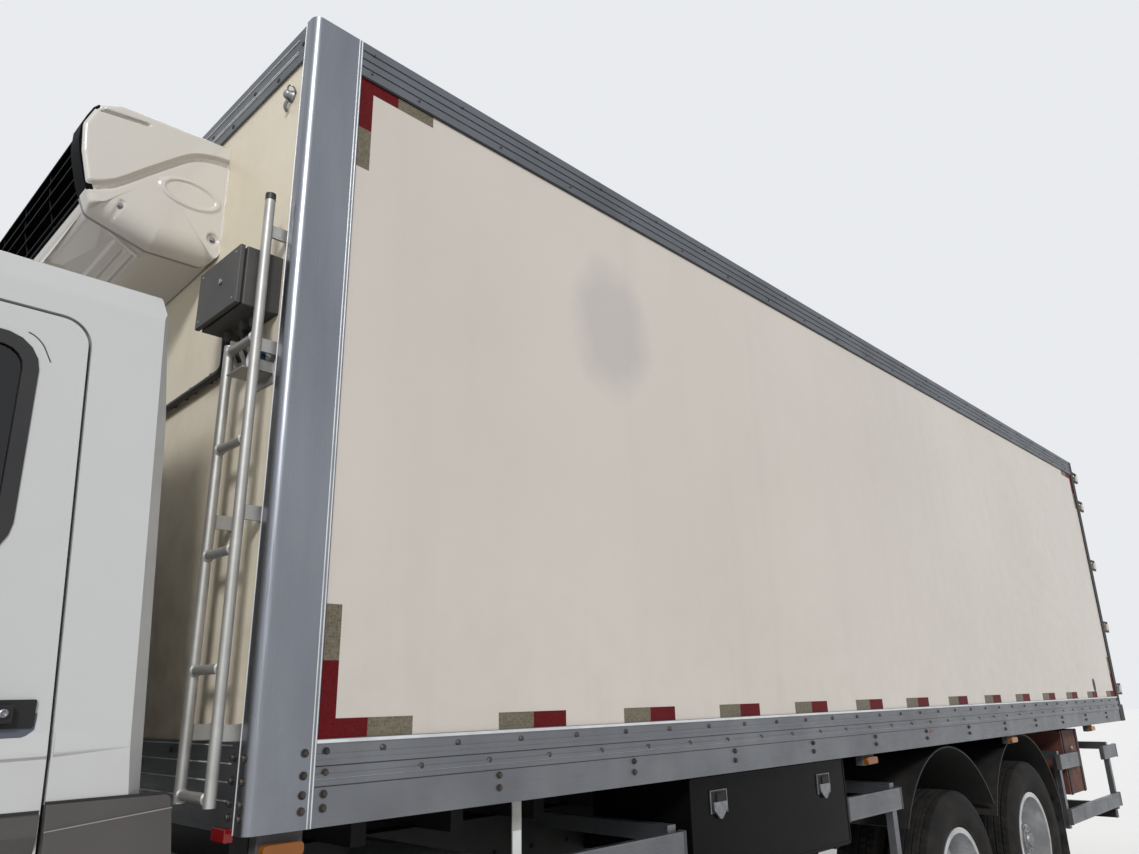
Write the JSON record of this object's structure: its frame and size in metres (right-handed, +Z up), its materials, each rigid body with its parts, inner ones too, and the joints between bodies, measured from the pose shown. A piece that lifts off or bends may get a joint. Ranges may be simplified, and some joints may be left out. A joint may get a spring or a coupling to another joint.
{
  "type": "refrigerated truck",
  "caption": "Rigid refrigerated truck with a flat-nosed tilting cab, an insulated box body, a nose-mounted cooling unit and a lifted trailing axle.",
  "frame": {"origin": "on the ground, under the middle of the overall box", "axes": "+X forward along the truck, +Y to its left, +Z up"},
  "size_m": [10.7, 2.91, 3.735],
  "materials": {
    "panel": "gloss",
    "wall_cream": "satin",
    "floor": "matte",
    "rail_aluminium": "satin",
    "frame_dark": "satin",
    "cab_white": "gloss",
    "plastic_black": "matte",
    "toolbox_black": "gloss",
    "engine_iron": "matte",
    "steel": "satin",
    "rim_silver": "satin",
    "tyre": "matte",
    "glass": "gloss",
    "lamp_clear": "gloss",
    "lamp_red": "gloss",
    "unit_white": "gloss",
    "box_grey": "satin",
    "cabinet_brown": "matte",
    "interior": "matte"
  },
  "bodies": {
    "chassis": {"battery_box": "plastic_black", "bottom_rails": "rail_aluminium", "box_floor": "floor", "bumper": "cab_white", "cab_steps": "plastic_black", "chassis_frame": "frame_dark", "corner_posts": "rail_aluminium", "electric_box": "box_grey", "engine": "engine_iron", "evaporator": "rail_aluminium", "fridge_housing": "unit_white", "front_axle": "frame_dark", "front_wall": "wall_cream", "fuel_tank": "rail_aluminium", "head_lamps": "lamp_clear", "ladder": "rail_aluminium", "mudguards": "plastic_black", "propshaft": "steel", "rear_axles": "frame_dark", "rear_frame": "frame_dark", "rear_lamps": "lamp_red", "roof": "panel", "side_cabinet": "cabinet_brown", "side_guards": "rail_aluminium", "side_walls": "panel", "subframe": "frame_dark", "suspension": "frame_dark", "toolbox": "toolbox_black", "top_rails": "rail_aluminium", "tow_brackets": "frame_dark", "underrun": "frame_dark"},
    "cab": {"cab_shell": "cab_white", "cab_front": "cab_white", "windscreen": "glass", "cab_interior": "interior"},
    "cab_door_left": {"cab_door_left": "cab_white", "door_glass_left": "glass", "mirror_left": "plastic_black"},
    "cab_door_right": {"cab_door_right": "cab_white", "door_glass_right": "glass", "mirror_right": "plastic_black"},
    "rear_door_left": {"rear_door_left": "panel"},
    "rear_door_right": {"rear_door_right": "panel"},
    "toolbox_lid": {"toolbox_lid": "toolbox_black"},
    "knuckle_left": {"knuckle_left": "engine_iron"},
    "knuckle_right": {"knuckle_right": "engine_iron"},
    "track_rod": {"track_rod": "steel"},
    "front_wheel_left": {"front_rim_left": "rim_silver", "front_tyre_left": "tyre"},
    "front_wheel_right": {"front_rim_right": "rim_silver", "front_tyre_right": "tyre"},
    "drive_wheels_left": {"drive_rims_left": "rim_silver", "drive_tyres_left": "tyre"},
    "drive_wheels_right": {"drive_rims_right": "rim_silver", "drive_tyres_right": "tyre"},
    "tag_wheels_left": {"tag_rims_left": "rim_silver", "tag_tyres_left": "tyre"},
    "tag_wheels_right": {"tag_rims_right": "rim_silver", "tag_tyres_right": "tyre"}
  },
  "joints": [
    {"name": "cab_tilt", "type": "hinge", "parent": "chassis", "child": "cab", "pos_m": [5.115, 0, 0.75], "axis": [0, 1, 0], "range_deg": [0, 45]},
    {"name": "toolbox_lid_hinge", "type": "hinge", "parent": "chassis", "child": "toolbox_lid", "pos_m": [0.705, 1.218, 0.884], "axis": [-1, 0, 0], "range_deg": [0, 110]},
    {"name": "cab_door_left_hinge", "type": "hinge", "parent": "cab", "child": "cab_door_left", "pos_m": [5.048, 1.224, 1.52], "axis": [0, 0, -1], "range_deg": [0, 70]},
    {"name": "rear_door_left_hinge", "type": "hinge", "parent": "chassis", "child": "rear_door_left", "pos_m": [-5.335, 1.292, 2.58], "axis": [0, 0, -1], "range_deg": [0, 270]},
    {"name": "steer_left", "type": "hinge", "parent": "chassis", "child": "knuckle_left", "pos_m": [3.97, 0.87, 0.506], "axis": [0, 0, 1], "range_deg": [-40, 40]},
    {"name": "front_wheel_left_spin", "type": "hinge", "parent": "knuckle_left", "child": "front_wheel_left", "pos_m": [3.97, 1.06, 0.506], "axis": [0, 1, 0], "continuous": true},
    {"name": "drive_wheels_left_spin", "type": "hinge", "parent": "chassis", "child": "drive_wheels_left", "pos_m": [-1.24, 0.947, 0.506], "axis": [0, 1, 0], "continuous": true},
    {"name": "tag_wheels_left_spin", "type": "hinge", "parent": "chassis", "child": "tag_wheels_left", "pos_m": [-2.56, 0.947, 0.586], "axis": [0, 1, 0], "continuous": true},
    {"name": "cab_door_right_hinge", "type": "hinge", "parent": "cab", "child": "cab_door_right", "pos_m": [5.048, -1.224, 1.52], "axis": [0, 0, 1], "range_deg": [0, 70]},
    {"name": "rear_door_right_hinge", "type": "hinge", "parent": "chassis", "child": "rear_door_right", "pos_m": [-5.335, -1.292, 2.58], "axis": [0, 0, 1], "range_deg": [0, 270]},
    {"name": "steer_right", "type": "hinge", "parent": "chassis", "child": "knuckle_right", "pos_m": [3.97, -0.87, 0.506], "axis": [0, 0, 1], "range_deg": [-40, 40]},
    {"name": "front_wheel_right_spin", "type": "hinge", "parent": "knuckle_right", "child": "front_wheel_right", "pos_m": [3.97, -1.06, 0.506], "axis": [0, 1, 0], "continuous": true},
    {"name": "drive_wheels_right_spin", "type": "hinge", "parent": "chassis", "child": "drive_wheels_right", "pos_m": [-1.24, -0.947, 0.506], "axis": [0, 1, 0], "continuous": true},
    {"name": "tag_wheels_right_spin", "type": "hinge", "parent": "chassis", "child": "tag_wheels_right", "pos_m": [-2.56, -0.947, 0.586], "axis": [0, 1, 0], "continuous": true},
    {"name": "track_rod_pivot", "type": "hinge", "parent": "knuckle_left", "child": "track_rod", "pos_m": [3.76, 0.87, 0.374], "axis": [0, 0, 1], "range_deg": [-40, 40]}
  ],
  "couplings": [
    {"joint": "steer_right", "follows": "steer_left", "ratio": 1},
    {"joint": "track_rod_pivot", "follows": "steer_left", "ratio": -1}
  ]
}
